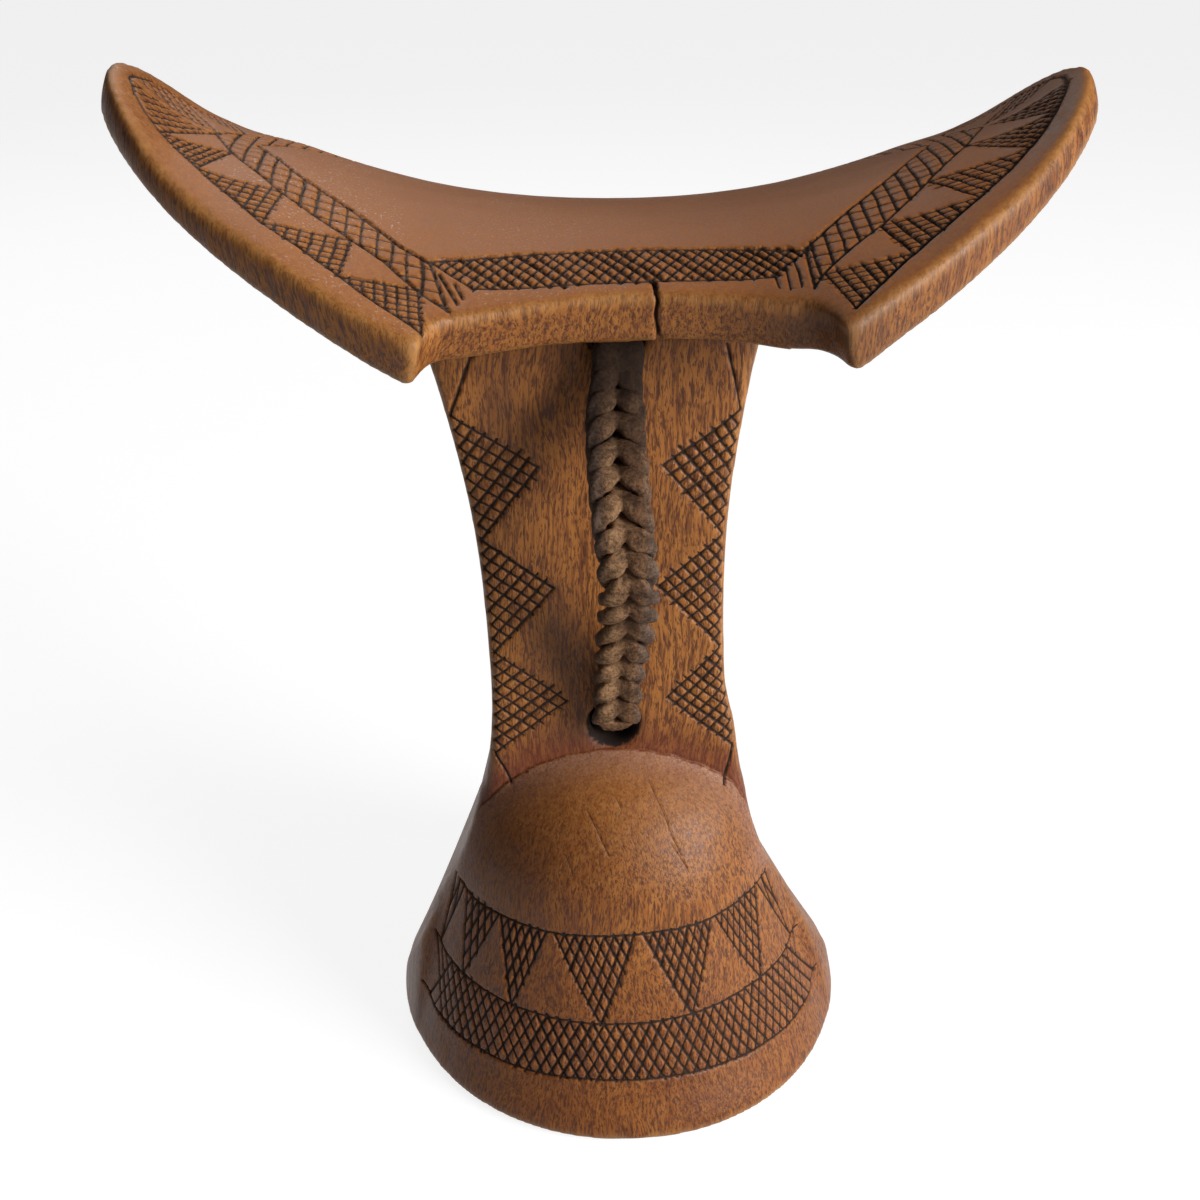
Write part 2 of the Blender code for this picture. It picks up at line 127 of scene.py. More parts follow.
# Dish pattern in plan, in millimetres from the middle, the same at the front and the back
# A band line's numbers are its distance at the middle, its growth with the square of x, and its end
FRONT_BAND_UPPER = (18.6, 0.0064, 26.3)
FRONT_BAND_LOWER = (26.4, 0.0025, 20.8)
FRONT_BAND_PITCH = 2.0
FRONT_BAND_SHIFT = 6.0
FRONT_BAND_STEPS = 15
FRONT_BAND_TRIES = 25
WINGS = {
    -1: {
        "inner": ((26.3, 23.4), (30.3, 21.0), (37.4, 14.4), (44.7, 8.6), (50.5, 1.6), (51.5, 0.3)),
        "outer": (
            (23.9, 31.8), (28.1, 28.9), (32.8, 24.5), (37.1, 21.7), (46.6, 15.1), (54.2, 6.2), (57.1, 0.3),
        ),
        "border": (
            (27.2, 36.0), (32.8, 33.0), (38.1, 29.6), (43.1, 26.3), (48.3, 23.3), (52.9, 18.6), (57.4, 14.4),
            (60.3, 11.8), (62.7, 9.8), (64.6, 7.8), (66.3, 5.1), (67.6, 1.2), (67.8, 0.2),
        ),
        "last_base": (67.6, 1.2),
        "apexes": ((27.7, 29.0), (37.1, 22.0), (46.6, 15.1), (54.2, 6.2), (57.2, 0.8)),
        "rungs": (((25.0, 25.3), (22.6, 30.5)), ((23.0, 26.9), (21.8, 29.5))),
    },
    1: {
        "inner": ((25.7, 22.5), (31.3, 17.0), (36.4, 12.2), (41.9, 7.1), (46.5, 2.2), (48.2, 0.3)),
        "outer": (
            (25.4, 30.4), (26.5, 28.9), (31.4, 24.7), (36.6, 21.2), (44.5, 14.0), (51.9, 6.4), (56.1, 0.3),
        ),
        "border": (
            (29.9, 35.8), (34.3, 32.7), (39.3, 29.0), (44.1, 25.9), (49.7, 22.2), (54.5, 18.4), (58.6, 15.0),
            (61.4, 12.2), (63.7, 9.4), (65.7, 6.3), (67.0, 3.5), (67.6, 0.2),
        ),
        "last_base": (67.3, 3.3),
        "apexes": ((27.4, 28.5), (36.4, 21.4), (44.7, 14.1), (52.1, 6.3), (57.0, 0.8)),
        "rungs": (((23.8, 24.3), (23.9, 30.1)), ((22.4, 25.2), (22.3, 29.9)), ((20.6, 27.2), (20.7, 29.4))),
    },
}
WING_RUNGS = 2.1
WING_HATCH = 7
WING_BASES = 5
WING_RUNG_START = 1.0
WING_CROSS_START = 1.5

# Column pattern: distances from its centre line, and heights, in millimetres
COLUMN_NODES = (123.0, 102.3, 82.0, 62.5)
COLUMN_APEX_HEIGHTS = (114.4, 93.5, 72.5)
COLUMN_APEX_LEFT = (8.8, 7.8, 6.8)
COLUMN_APEX_RIGHT = (10.4, 9.2, 9.8)
COLUMN_HATCH = 8
COLUMN_EDGE_MARGIN = 0.8
COLUMN_EDGE_DEPTH = 13.0
COLUMN_TOP_LINES = ((-16.4, 134.6), (19.4, 133.2))
COLUMN_BOTTOM_LINES = ((-17.4, 57.2), (18.6, 55.6))
CRACK_FACE = ((4.1, 145.8), (4.5, 143.6), (4.3, 141.6), (4.8, 139.2), (5.0, 137.0))
CRACK_TOP = ((4.3, -27.0), (4.5, -27.8), (4.2, -28.7))

# Seam round the dome: looked for in millimetres, with the step that marks it in metres
SEAM_HALF_WIDTH = 27.0
SEAM_POINTS = 37
SEAM_SEARCH = (66.0, 38.0)
SEAM_SEARCH_STEP = 0.25
SEAM_PROUD = 0.0005
SEAM_STEP = 0.0006

# Wear and painted light and shade: spreads in metres, and stains and patches of painted shade as x, height
# and half sizes in millimetres
SEAM_SPREAD = 0.0048
DOME_WAX_AND_SHADE = 0.30
SHEEN_AND_DUST_SPREAD = 0.0042
HOLE_SHADE_REACH = 0.0047
# Front patches, partly stains and partly painted shade: the strap's painted shadow to its left, and shade on
# the dish front's right and the dome's left
STAIN_AND_SHADE_PATCHES = (
    (-18.0, 124.0, 4.0, 7.0), (-9.5, 84.0, 4.5, 9.0), (-6.0, 66.0, 6.0, 3.0),
    (26.0, 142.0, 15.0, 7.0), (-17.0, 46.0, 7.0, 9.0),
)

# Foot pattern: degrees from straight ahead and heights in millimetres
# A triangle's three numbers are the angles of its left end, right end and apex
FOOT_TOP = (
    (-57.5, 38.6), (-49, 36.9), (-23, 36.6), (-8, 37.0), (7, 37.3), (28, 37.0), (49, 37.2), (57.5, 37.9),
)
FOOT_UPPER = (
    (-65.7, 24.9), (-61, 22.8), (-52, 22.0), (-34, 21.3), (-8, 21.2), (29, 21.5), (55, 21.2), (66, 22.8),
)
FOOT_LOWER = (
    (-68, 12.9), (-61, 10.4), (-50, 9.9), (-30, 10.2), (-8, 11.0), (6, 11.0), (50, 9.9), (61, 10.3),
    (68, 12.9),
)
FOOT_LINE_STEPS = 41
FOOT_TRIANGLES = (
    (-60.0, -55.0, -63.5), (-53.5, -39.5, -51.0), (-38.7, -23.3, -33.1), (-20.6, 2.9, -7.7),
    (5.6, 27.7, 17.3), (29.8, 50.3, 43.5), (51.5, 57.2, 62.5),
)
FOOT_HATCH_PITCH = 2.8
FOOT_BAND_PITCH = 3.1
FOOT_BAND_SHIFT = 8.5
DOME_CRACKS = (
    ((-10.9, 56.0), (-9.2, 55.1), (-6.2, 52.9), (-3.3, 50.3)),
    ((17.2, 59.2), (17.7, 57.5), (18.9, 55.0), (19.7, 51.8), (21.1, 48.9)),
    ((18.6, 51.0), (20.4, 49.0), (22.3, 46.4)),
    ((-17.7, 50.0), (-15.0, 47.2)),
    ((1.1, 57.6), (2.6, 56.1)),
)

# Course of the strap, in metres
PIVOT_Y = -0.0189
UPPER_HOLE = 0.13521
LOWER_HOLE = 0.06780
STRAP_OVERRUN = 0.0020
STRAP_END_RISE = 0.0040
STRAP_NECK = 0.0047
STRAP_BOW = 0.0145
BOW_SKEW = 1.4
STRAP_SWAY = (0.00051, 0.00073, -0.00034)
CURL_IN = 0.0032
CURL_RISE = 0.0028
STRAP_POINTS = 500
FINE_POINTS = 5000

# Slit plait, in metres; a drift has its size in leaves, its rate and its start
LEAVES = 15
LEAF_DRIFT = ((0.09, 2.3, 0.0), (0.05, 5.1, 1.0))
LEAF_SLANT = 0.36
LEG_NEAR = 0.00070
LEG_FAR = 0.00325
LEG_WAVE = 0.00128
LEG_TUCK = 0.0012
LEG_HALF = (0.00100, 0.00100)
LEG_SPREAD = 0.00080
LEG_FLATTEN = 0.00002
LEG_SQUARE = 0.62
LEG_SIDES = 14
WIDER_TOP = 1.05
WIDER_LOW = 0.10
END_NARROW = 0.80
FULL_WIDTH_BOW = 0.0030
CORE_HALF = (0.0013, 0.0005)
CORE_DEPTH = 0.0008

# Plain ends of the strips, in metres
UPPER_BAND = 0.0076
UPPER_TAPER = 0.0056
UPPER_BAND_HALF = (0.0038, 0.0019)
LOWER_BAND = 0.0030
LOWER_TAPER = 0.0040
LOWER_BAND_HALF = (0.0033, 0.0017)
NECK_RADIUS = 0.0021
END_ROUND = 0.35
END_LEAST = 0.05
BAND_SIDES = 28
BAND_SKIP = 4

# Leather surface, in metres, with its lumps per metre
LEATHER_VOXEL = 0.00026
LEATHER_SMOOTHING = 2
LEATHER_LUMPS = 0.00014
LUMP_SCALES = (420, 1100)
LUMP_FINE_SHARE = 0.6
STRAP_HALF_WIDTH = 0.0043

# Knots and their stems, in metres; loose ends by four points each, in millimetres from the knot's middle
STEM_RADIUS = 0.0023
STEM_FRONT_Y = -0.0138
STEM_POINTS = 24
STEM_SIDES = 20
KNOT_HALF_WIDTH = 0.0049
KNOT_DEPTH = 0.0019
KNOT_CORD = (0.0021, 0.0016)
KNOT_OUT = 0.0040
KNOT_POINTS = 120
KNOT_SIDES = 16
TAIL_HALF = (0.0016, 0.0010)
TAIL_TIP = 0.75
TAIL_POINTS = 40
TAIL_SIDES = 14
UPPER_TAILS = (
    ((1.5, 0.6, -1.0), (4.5, 1.6, -3.0), (5.5, 1.2, -9.0), (7.0, -1.6, -16.0)),
    ((-1.5, 0.4, -1.0), (-4.5, 1.2, -4.0), (-4.0, 1.2, -10.0), (-6.5, -1.6, -14.5)),
)
LOWER_TAILS = (
    ((1.5, 0.6, -1.0), (5.5, 1.8, -1.0), (9.5, 3.0, 0.5), (14.5, 2.6, -1.5)),
    ((-1.5, 0.4, -1.0), (-5.5, 1.6, -1.5), (-9.0, 3.0, -0.5), (-13.5, 2.8, -2.5)),
)

# Wood: noises as features per metre on each axis and detail, zones in metres, and colours
WOOD_NOISES = {
    "figure": ((46, 46, 15), 4),
    "broad": ((17, 17, 12), 2),
    "streak": ((900, 900, 40), 3),
    "hairs": ((2000, 2000, 130), 2),
    "pores": ((3400, 3400, 800), 2),
    "flecks": ((2300, 2300, 360), 2),
}
DUST = ((2600, 2600, 2600), 2)
GRAIN_SWAY = (0.0045, 0.0045, 0.0)
GRAIN_SWAY_SCALE = 55.0
PORE_DEPTH = 0.00012
GRAIN_RISE = 0.00012
GOLD_ABOVE = (0.050, 0.072)
GOLD_BELOW = (0.140, 0.126)
RED_BELOW = (0.060, 0.020)
DISH_TOP_ABOVE = (0.130, 0.142)
DISH_LEFT = (0.020, -0.040)
WOOD_DARK = (0.215, 0.068, 0.014)
WOOD_LIGHT = (0.370, 0.130, 0.026)
WOOD_STREAK = (0.490, 0.200, 0.045)
WOOD_SHADOW = (0.115, 0.033, 0.010)
WOOD_GOLD = (0.455, 0.175, 0.040)
WOOD_RED = (0.190, 0.044, 0.011)
WOOD_HAIR = (0.110, 0.031, 0.009)
WOOD_FLECK = (0.066, 0.018, 0.007)
WOOD_DISH = (0.360, 0.112, 0.023)
# Painted sheen with dust on the dish's left
PALE_SHEEN_AND_DUST = (0.480, 0.260, 0.160)
WOOD_POWDER = (0.620, 0.520, 0.450)
# Pale rubbed edges, partly a painted highlight
RUBBED_EDGE_HIGHLIGHT = (0.470, 0.225, 0.070)
# Wax, with painted shade in the dome's seam
WAX_AND_CREASE_SHADE = (0.125, 0.024, 0.009)
# Dust with a painted sheen on the dome's top edge
SHEEN_AND_DUST_COLOUR = (0.400, 0.235, 0.180)
STAIN_AND_SHADE_COLOUR = (0.060, 0.022, 0.011)
# Painted shade in the cut grooves, paler with dust on the dish's left
CUT_SHADE = (0.018, 0.010, 0.007)
CUT_PALE = (0.105, 0.073, 0.060)
# Painted shade inside the holes
HOLE_SHADE_COLOUR = (0.006, 0.004, 0.003)
WOOD_GLOSS = 0.28

# Leather: noises as for the wood, the shaded zone in metres, and colours, first dark, tan and grey, the tan
# partly painted light
NAP = ((1900, 1900, 1900), 5, 0.70)
NAP_DEPTH = 0.00035
PATCHES = ((420, 420, 420), 3)
SHADED_ABOVE = (0.115, 0.130)
STRAP_LEATHER = ((0.165, 0.080, 0.039), (0.360, 0.197, 0.097), (0.165, 0.110, 0.082))
TAIL_LEATHER = ((0.090, 0.042, 0.022), (0.260, 0.140, 0.070), (0.105, 0.070, 0.052))
# Painted shade in the leather's hollows
HOLLOW_SHADE = (0.024, 0.013, 0.008)
NAP_COLOUR = (0.026, 0.014, 0.008)
SHADED_COLOUR = (0.018, 0.009, 0.006)
LEATHER_ROUGHNESS = 0.88
LEATHER_GLOSS = 0.2

# Floor and lights, in metres; a light has its place, its size and its power in watts
WHITE = (1.0, 1.0, 1.0, 1.0)
FLOOR_REACH = 8.0
FLOOR_LEVEL = -0.0004
FLOOR_SEEN = (0.30, 0.30, 0.30, 1.0)
FLOOR_GLOW = 0.84
FLOOR_UNSEEN = (0.42, 0.42, 0.42, 1.0)
WORLD_STRENGTH = 0.09
LIGHT_TARGET = (0.0, 0.0, 0.10)
LIGHTS = {
    "window": ((0.74, -0.54, 0.40), 0.50, 13.0),
    "back": ((-0.20, 0.62, 0.82), 0.60, 2.0),
}

# Camera: place in metres, turns in degrees, lens and sensor in millimetres
CAMERA_PLACE = (-0.015142, -0.215044, 0.192539)
CAMERA_YAW = 3.655
CAMERA_PITCH = 26.793
CAMERA_ROLL = 0.106
CAMERA_LENS = 41.66
CAMERA_SENSOR = 36.0
CAMERA_NEAR = 0.001

scene = bpy.context.scene
hand = np.random.default_rng(WOBBLE_SEED)


def link(name, mesh, material):
    """A new object with one material, smooth shaded."""
    piece = bpy.data.objects.new(name, mesh)
    scene.collection.objects.link(piece)
    mesh.materials.clear()
    mesh.materials.append(material)
    mesh.shade_smooth()
    return piece


def remeshed(mesh, voxel, smoothing):
    """The outer skin of a mesh as even small faces, slightly softened."""
    shape = bpy.data.objects.new("shape", mesh)
    scene.collection.objects.link(shape)
    remesh = shape.modifiers.new("Remesh", "REMESH")
    remesh.mode = "VOXEL"
    remesh.voxel_size = voxel
    soften = shape.modifiers.new("Smooth", "SMOOTH")
    soften.factor = SOFTEN_SHARE
    soften.iterations = smoothing
    graph = bpy.context.evaluated_depsgraph_get()
    skin = bpy.data.meshes.new_from_object(shape.evaluated_get(graph))
    bpy.data.objects.remove(shape)
    return skin


def positions(mesh):
    """Vertex places as an array."""
    places = np.empty(len(mesh.vertices) * 3)
    mesh.vertices.foreach_get("co", places)
    return places.reshape(-1, 3)


def normals(mesh):
    """Vertex normals as an array."""
    directions = np.empty(len(mesh.vertices) * 3)
    mesh.vertex_normals.foreach_get("vector", directions)
    return directions.reshape(-1, 3)


def put_positions(mesh, places):
    """Writes vertex places back to a mesh."""
    mesh.vertices.foreach_set("co", places.ravel())
    mesh.update()


def put_layer(mesh, name, values):
    """Keeps one number per vertex for the shader."""
    layer = mesh.attributes.get(name) or mesh.attributes.new(name, "FLOAT", "POINT")
    layer.data.foreach_set("value", np.asarray(values, np.float32))


def bend_of(mesh):
    """How far each vertex stands proud (+) or sunk (-) of its neighbours, as a share of the voxel."""
    places = positions(mesh)
    edges = np.empty(len(mesh.edges) * 2, int)
    mesh.edges.foreach_get("vertices", edges)
    edges = edges.reshape(-1, 2)
    total = np.zeros_like(places)
    count = np.zeros(len(places))
    for a, b in ((0, 1), (1, 0)):
        np.add.at(total, edges[:, a], places[edges[:, b]])
        np.add.at(count, edges[:, a], 1)
    away = places - total / count[:, None]
    bend = (away * normals(mesh)).sum(1) / BODY_VOXEL
    for _ in range(BEND_ROUNDS):
        sums = np.zeros(len(places))
        for a, b in ((0, 1), (1, 0)):
            np.add.at(sums, edges[:, a], bend[edges[:, b]])
        bend = (bend + sums / count) / 2
    return bend


class Carver:
    """Cuts straight lines into a mesh as real V grooves."""

    def __init__(self, mesh):
        self.work = bmesh.new()
        self.work.from_mesh(mesh)
        self.sink = self.work.verts.layers.float.new("sink")
        self.groove_shade = self.work.verts.layers.float.new("carve")
        self.tree = BVHTree.FromBMesh(self.work)
        self.cells = {}
        for face in self.work.faces:
            self.file(face)

    @staticmethod
    def cell(place):
        return tuple(math.floor(value / GRID) for value in place)

    def file(self, face):
        """Notes a face in the grid cell of its middle."""
        self.cells.setdefault(self.cell(face.calc_center_median()), {})[face] = None

    def faces_at(self, start, end):
        """Faces in the grid cells along a short line, with their cells."""
        keys = {}
        steps = max(1, math.ceil((end - start).length / GRID))
        for index in range(steps + 1):
            x, y, z = self.cell(start.lerp(end, index / steps))
            for i in (x - 1, x, x + 1):
                for j in (y - 1, y, y + 1):
                    for k in (z - 1, z, z + 1):
                        keys[(i, j, k)] = None
        return [(key, face) for key in keys for face in self.cells.get(key, ())]

    @staticmethod
    def split(faces, point, normal):
        """Splits faces where a plane crosses them, and returns them with the new ones."""
        level = {}
        edges = {}
        for face in faces:
            for edge in face.edges:
                edges[edge] = None
            for vert in face.verts:
                if vert not in level:
                    height = (vert.co - point).dot(normal)
                    level[vert] = 0.0 if abs(height) < SNAP else height
        for edge in edges:
            a, b = edge.verts
            high, low = level[a], level[b]
            if high * low < 0:
                share = high / (high - low)
                place = a.co.lerp(b.co, share)
                _, made = bmesh.utils.edge_split(edge, a, share)
                made.co = place
                level[made] = 0.0
        parts = list(faces)
        for face in faces:
            on = [loop for loop in face.loops if level[loop.vert] == 0.0]
            if len(on) != 2:
                continue
            if on[0].link_loop_next == on[1] or on[1].link_loop_next == on[0]:
                continue
            made, _ = bmesh.utils.face_split(face, on[0].vert, on[1].vert)
            parts.append(made)
        return parts

    def cut(self, start, end, normal, groove):
        """Splits the faces under one line along its middle and both edges, and sinks the middle."""
        along = end - start
        length = along.length
        if length < SNAP:
            return
        along /= length
        side = along.cross(normal).normalized()
        width, depth, dark = groove
        half = width / 2
        faces = []
        for key, face in self.faces_at(start, end):
            offset = face.calc_center_median() - start
            if not -half <= offset.dot(along) <= length + half:
                continue
            if abs(offset.dot(side)) < CUT_REACH and abs(offset.dot(normal)) < CUT_LEVEL:
                del self.cells[key][face]
                faces.append(face)
        for share in (-half, 0.0, half):
            faces = self.split(faces, start + side * share, side)
        for face in faces:
            self.file(face)
            for vert in face.verts:
                offset = vert.co - start
                if -half < offset.dot(along) < length + half:
                    share = 1 - abs(offset.dot(side)) / half
                    if share > 0:
                        vert[self.sink] = max(vert[self.sink], depth * share)
                        # The groove's tone is how much painted shade it gets
                        vert[self.groove_shade] = max(vert[self.groove_shade], dark * share)

    def finish(self, mesh):
        """Writes the split mesh back and sinks the grooves."""
        self.work.to_mesh(mesh)
        self.work.free()
        depth = np.empty(len(mesh.vertices))
        mesh.attributes["sink"].data.foreach_get("value", depth)
        mesh.attributes.remove(mesh.attributes["sink"])
        put_positions(mesh, positions(mesh) - normals(mesh) * depth[:, None])


def wobble():
    """A small sideways slip of the carver's blade."""
    return float(hand.uniform(-HAND_WOBBLE, HAND_WOBBLE))


def column_middle(z):
    """X of the column's centre line at a height, in metres."""
    return COLUMN_FOOT_X - COLUMN_LEAN * z


class Charts:
    """Finds points on the body from plan, face and round coordinates in millimetres."""

    def __init__(self, tree):
        self.tree = tree

    def cast(self, origin, direction):
        place, normal, _, _ = self.tree.ray_cast(Vector(origin), Vector(direction))
        return None if place is None else (place, normal)

    def dish(self, x, y):
        """From above, by plan x and y."""
        return self.cast((x * MM + wobble(), y * MM + wobble(), RAY_ABOVE), (0, 0, -1))

    def face(self, facing):
        """From the front (-1) or the back (+1), by distance from the column's centre line and height."""
        def find(across, height):
            x = column_middle(height * MM) + across * MM
            return self.cast((x + wobble(), facing * RAY_BEFORE, height * MM + wobble()), (0, -facing, 0))
        return find

    def foot(self, facing):
        """From outside, by angle from straight ahead and height."""
        def find(angle, height):
            middle = column_middle(height * MM)
            turn = math.radians(angle)
            away = Vector((math.sin(turn), facing * math.cos(turn), 0))
            origin = Vector((middle, 0, height * MM + wobble())) + away * RAY_AROUND
            return self.cast(origin, -away)
        return find

    def edge(self, side, facing, height):
        """Distance from the column's centre line to its edge on one face, in millimetres."""
        found = self.cast((side * RAY_BESIDE, facing * COLUMN_EDGE_DEPTH * MM, height * MM), (-side, 0, 0))
        return (found[0].x - column_middle(height * MM)) / MM - side * COLUMN_EDGE_MARGIN


def draw(carver, chart, points, groove=PLAIN):
    """Cuts a line through chart points, in pieces short enough to follow the surface."""
    press = float(hand.uniform(*HAND_PRESS))
    groove = (groove[0] * press, groove[1] * press, groove[2])
    for a, b in zip(points[:-1], points[1:]):
        ends = [chart(*a), chart(*b)]
        if None in ends:
            continue
        pieces = max(1, math.ceil((ends[1][0] - ends[0][0]).length / LINE_PIECE))
        shares = [index / pieces for index in range(1, pieces)]
        middle = [chart(a[0] + (b[0] - a[0]) * s, a[1] + (b[1] - a[1]) * s) for s in shares]
        spots = [ends[0], *middle, ends[1]]
        for first, second in zip(spots[:-1], spots[1:]):
            if first is None or second is None:
                continue
            carver.cut(first[0], second[0], (first[1] + second[1]).normalized(), groove)


def between(a, b, share):
    """The point a share of the way from a to b."""
    return (a[0] + (b[0] - a[0]) * share, a[1] + (b[1] - a[1]) * share)


def hatched_triangle(carver, chart, base_a, base_b, apex, count, first=PLAIN, second=PLAIN):
    """A triangle with two families of lines, each parallel to one of its two slanted sides."""
    draw(carver, chart, [base_a, apex], first)
    draw(carver, chart, [base_b, apex], second)
    for index in range(1, count):
        share = index / count
        for near, far, groove in ((base_b, base_a, first), (base_a, base_b, second)):
            start, end = between(near, far, share), between(near, apex, share)
            draw(carver, chart, [start, between(start, end, 1 + OVERSHOOT * hand.random())], groove)


def along_points(points, value, axis):
    """Point of a polyline where one coordinate has a value, or None outside it."""
    for a, b in zip(points[:-1], points[1:]):
        low, high = sorted((a[axis], b[axis]))
        if low <= value <= high and high > low:
            return between(a, b, (value - a[axis]) / (b[axis] - a[axis]))
    return None


def carve_front_band(carver, band):
    """The band of crossed lines between the dish's two wings."""
    def away(line, x):
        return line[0] + line[1] * x * x

    upper, lower = FRONT_BAND_UPPER, FRONT_BAND_LOWER
    for line in (upper, lower):
        draw(carver, band, [(x, away(line, x)) for x in np.linspace(-1, 1, FRONT_BAND_STEPS) * line[2]])
    reach = upper[2] + FRONT_BAND_SHIFT
    for start in np.arange(-reach, reach, FRONT_BAND_PITCH):
        for shift, groove in ((-FRONT_BAND_SHIFT, PLAIN), (FRONT_BAND_SHIFT, STRONG)):
            points = []
            for share in np.linspace(0, 1, FRONT_BAND_TRIES):
                x = start + shift * share
                if abs(x) < upper[2] + (lower[2] - upper[2]) * share:
                    points.append((x, away(upper, x) * (1 - share) + away(lower, x) * share))
            if len(points) > 2:
                draw(carver, band, [points[0], points[-1]], groove)


def carve_wing(carver, wing, lines):
    """One wing's crossed band and the hatched triangles along its border."""
    inner, outer = lines["inner"], lines["outer"]
    draw(carver, wing, inner)
    draw(carver, wing, outer)
    draw(carver, wing, lines["border"])
    draw(carver, wing, [inner[0], outer[0]])
    for rung in lines["rungs"]:
        draw(carver, wing, rung, RUNG)
    for x in np.arange(inner[0][0] + WING_RUNG_START, outer[-1][0], WING_RUNGS):
        start = along_points(inner, x, 0) or (x, inner[-1][1])
        end = along_points(outer, x, 0)
        if end:
            draw(carver, wing, [start, end], RUNG)
    for y in np.arange(WING_CROSS_START, outer[0][1], WING_RUNGS):
        start = along_points((outer[0], *inner), y, 1)
        end = along_points(outer, y, 1)
        if start and end:
            draw(carver, wing, [start, end], FINE)
    bases = (*lines["border"][::2][:WING_BASES], lines["last_base"])
    for start, end, apex in zip(bases[:-1], bases[1:], lines["apexes"]):
        hatched_triangle(carver, wing, start, end, apex, WING_HATCH, RUNG, FINE)


def carve_dish(carver, charts):
    """Bands and triangles on the dish, the same at its front and its back."""
    for facing in (-1, 1):
        carve_front_band(carver, lambda x, y: charts.dish(x, facing * y))
        for side, lines in WINGS.items():
            carve_wing(carver, lambda x, y: charts.dish(side * x, facing * y), lines)


def carve_column(carver, charts):
    """Hatched triangles standing on both edges of the column's front and back."""
    for facing in (-1, 1):
        chart = charts.face(facing)
        for side, apexes in ((-1, COLUMN_APEX_LEFT), (1, COLUMN_APEX_RIGHT)):
            nodes = [(charts.edge(side, facing, z), z) for z in COLUMN_NODES]
            for index, apex in enumerate(apexes):
                point = (side * apex, COLUMN_APEX_HEIGHTS[index])
                hatched_triangle(carver, chart, nodes[index], nodes[index + 1], point, COLUMN_HATCH)
            end = 0 if side < 0 else 1
            draw(carver, chart, [nodes[0], COLUMN_TOP_LINES[end]])
            draw(carver, chart, [nodes[-1], COLUMN_BOTTOM_LINES[end]])


def height_on(line, angle):
    """Height of one of the foot's lines at an angle."""
    return float(np.interp(angle, *zip(*line)))


def carve_foot(carver, charts):
    """Hanging hatched triangles and a band of diamonds round the foot's front and back."""
    for facing in (-1, 1):
        chart = charts.foot(facing)
        for line in (FOOT_TOP, FOOT_UPPER, FOOT_LOWER):
            angles = np.linspace(line[0][0], line[-1][0], FOOT_LINE_STEPS)
            draw(carver, chart, [(angle, height_on(line, angle)) for angle in angles])
        for start, end, apex in FOOT_TRIANGLES:
            base = [(angle, height_on(FOOT_TOP, angle)) for angle in (start, end)]
            count = round((end - start) / FOOT_HATCH_PITCH)
            hatched_triangle(carver, chart, *base, (apex, height_on(FOOT_UPPER, apex)), count)
        for angle in np.arange(FOOT_UPPER[0][0], FOOT_UPPER[-1][0], FOOT_BAND_PITCH):
            for shift in (-FOOT_BAND_SHIFT, FOOT_BAND_SHIFT):
                below = angle + shift
                if FOOT_LOWER[0][0] < below < FOOT_LOWER[-1][0]:
                    ends = [(angle, height_on(FOOT_UPPER, angle)), (below, height_on(FOOT_LOWER, below))]
                    draw(carver, chart, ends)
    for crack in DOME_CRACKS:
        draw(carver, charts.foot(-1), crack, HAIR)


def carve_seam(carver, charts):
    """Sharpens the seam round the top of the foot's dome, and returns points along it."""
    seam = []
    for facing in (-1, 1):
        chart = charts.face(facing)
        points = []
        for across in np.linspace(-SEAM_HALF_WIDTH, SEAM_HALF_WIDTH, SEAM_POINTS):
            for height in np.arange(*SEAM_SEARCH, -SEAM_SEARCH_STEP):
                found = chart(across, height)
                if found and found[0].y * facing > COLUMN_BACK_Y + SEAM_PROUD:
                    points.append((across, height + SEAM_SEARCH_STEP))
                    seam.append(np.array(found[0]))
                    break
        draw(carver, chart, points, SEAM)
    return np.array(seam)


def carve_crack(carver, charts):
    """The drying crack in the front of the dish."""
    def front(x, z):
        return charts.cast((x * MM, -RAY_BEFORE, z * MM), (0, 1, 0))
    draw(carver, front, CRACK_FACE, CRACK)
    draw(carver, charts.dish, CRACK_TOP, CRACK)


def ease(values, start, end):
    """0 before start and 1 after end, smooth between them."""
    share = np.clip((values - start) / (end - start), 0, 1)
    return share * share * (3 - 2 * share)


def level_in_rim(places, charts):
    """How high each vertex lies in the dish's thickness: 1 on top, 0 on the underside."""
    level = np.ones(len(places))
    for index in np.nonzero(places[:, 2] > DISH_FROM[0])[0]:
        x, y = places[index, :2] * RIM_PULL
        top = charts.cast((x, y, RAY_ABOVE), (0, 0, -1))
        under = charts.cast((x, y, DISH_FROM[0]), (0, 0, 1))
        if top and under and top[0].z - under[0].z > THINNEST:
            level[index] = (places[index, 2] - under[0].z) / (top[0].z - under[0].z)
    return level.clip(0, 1)


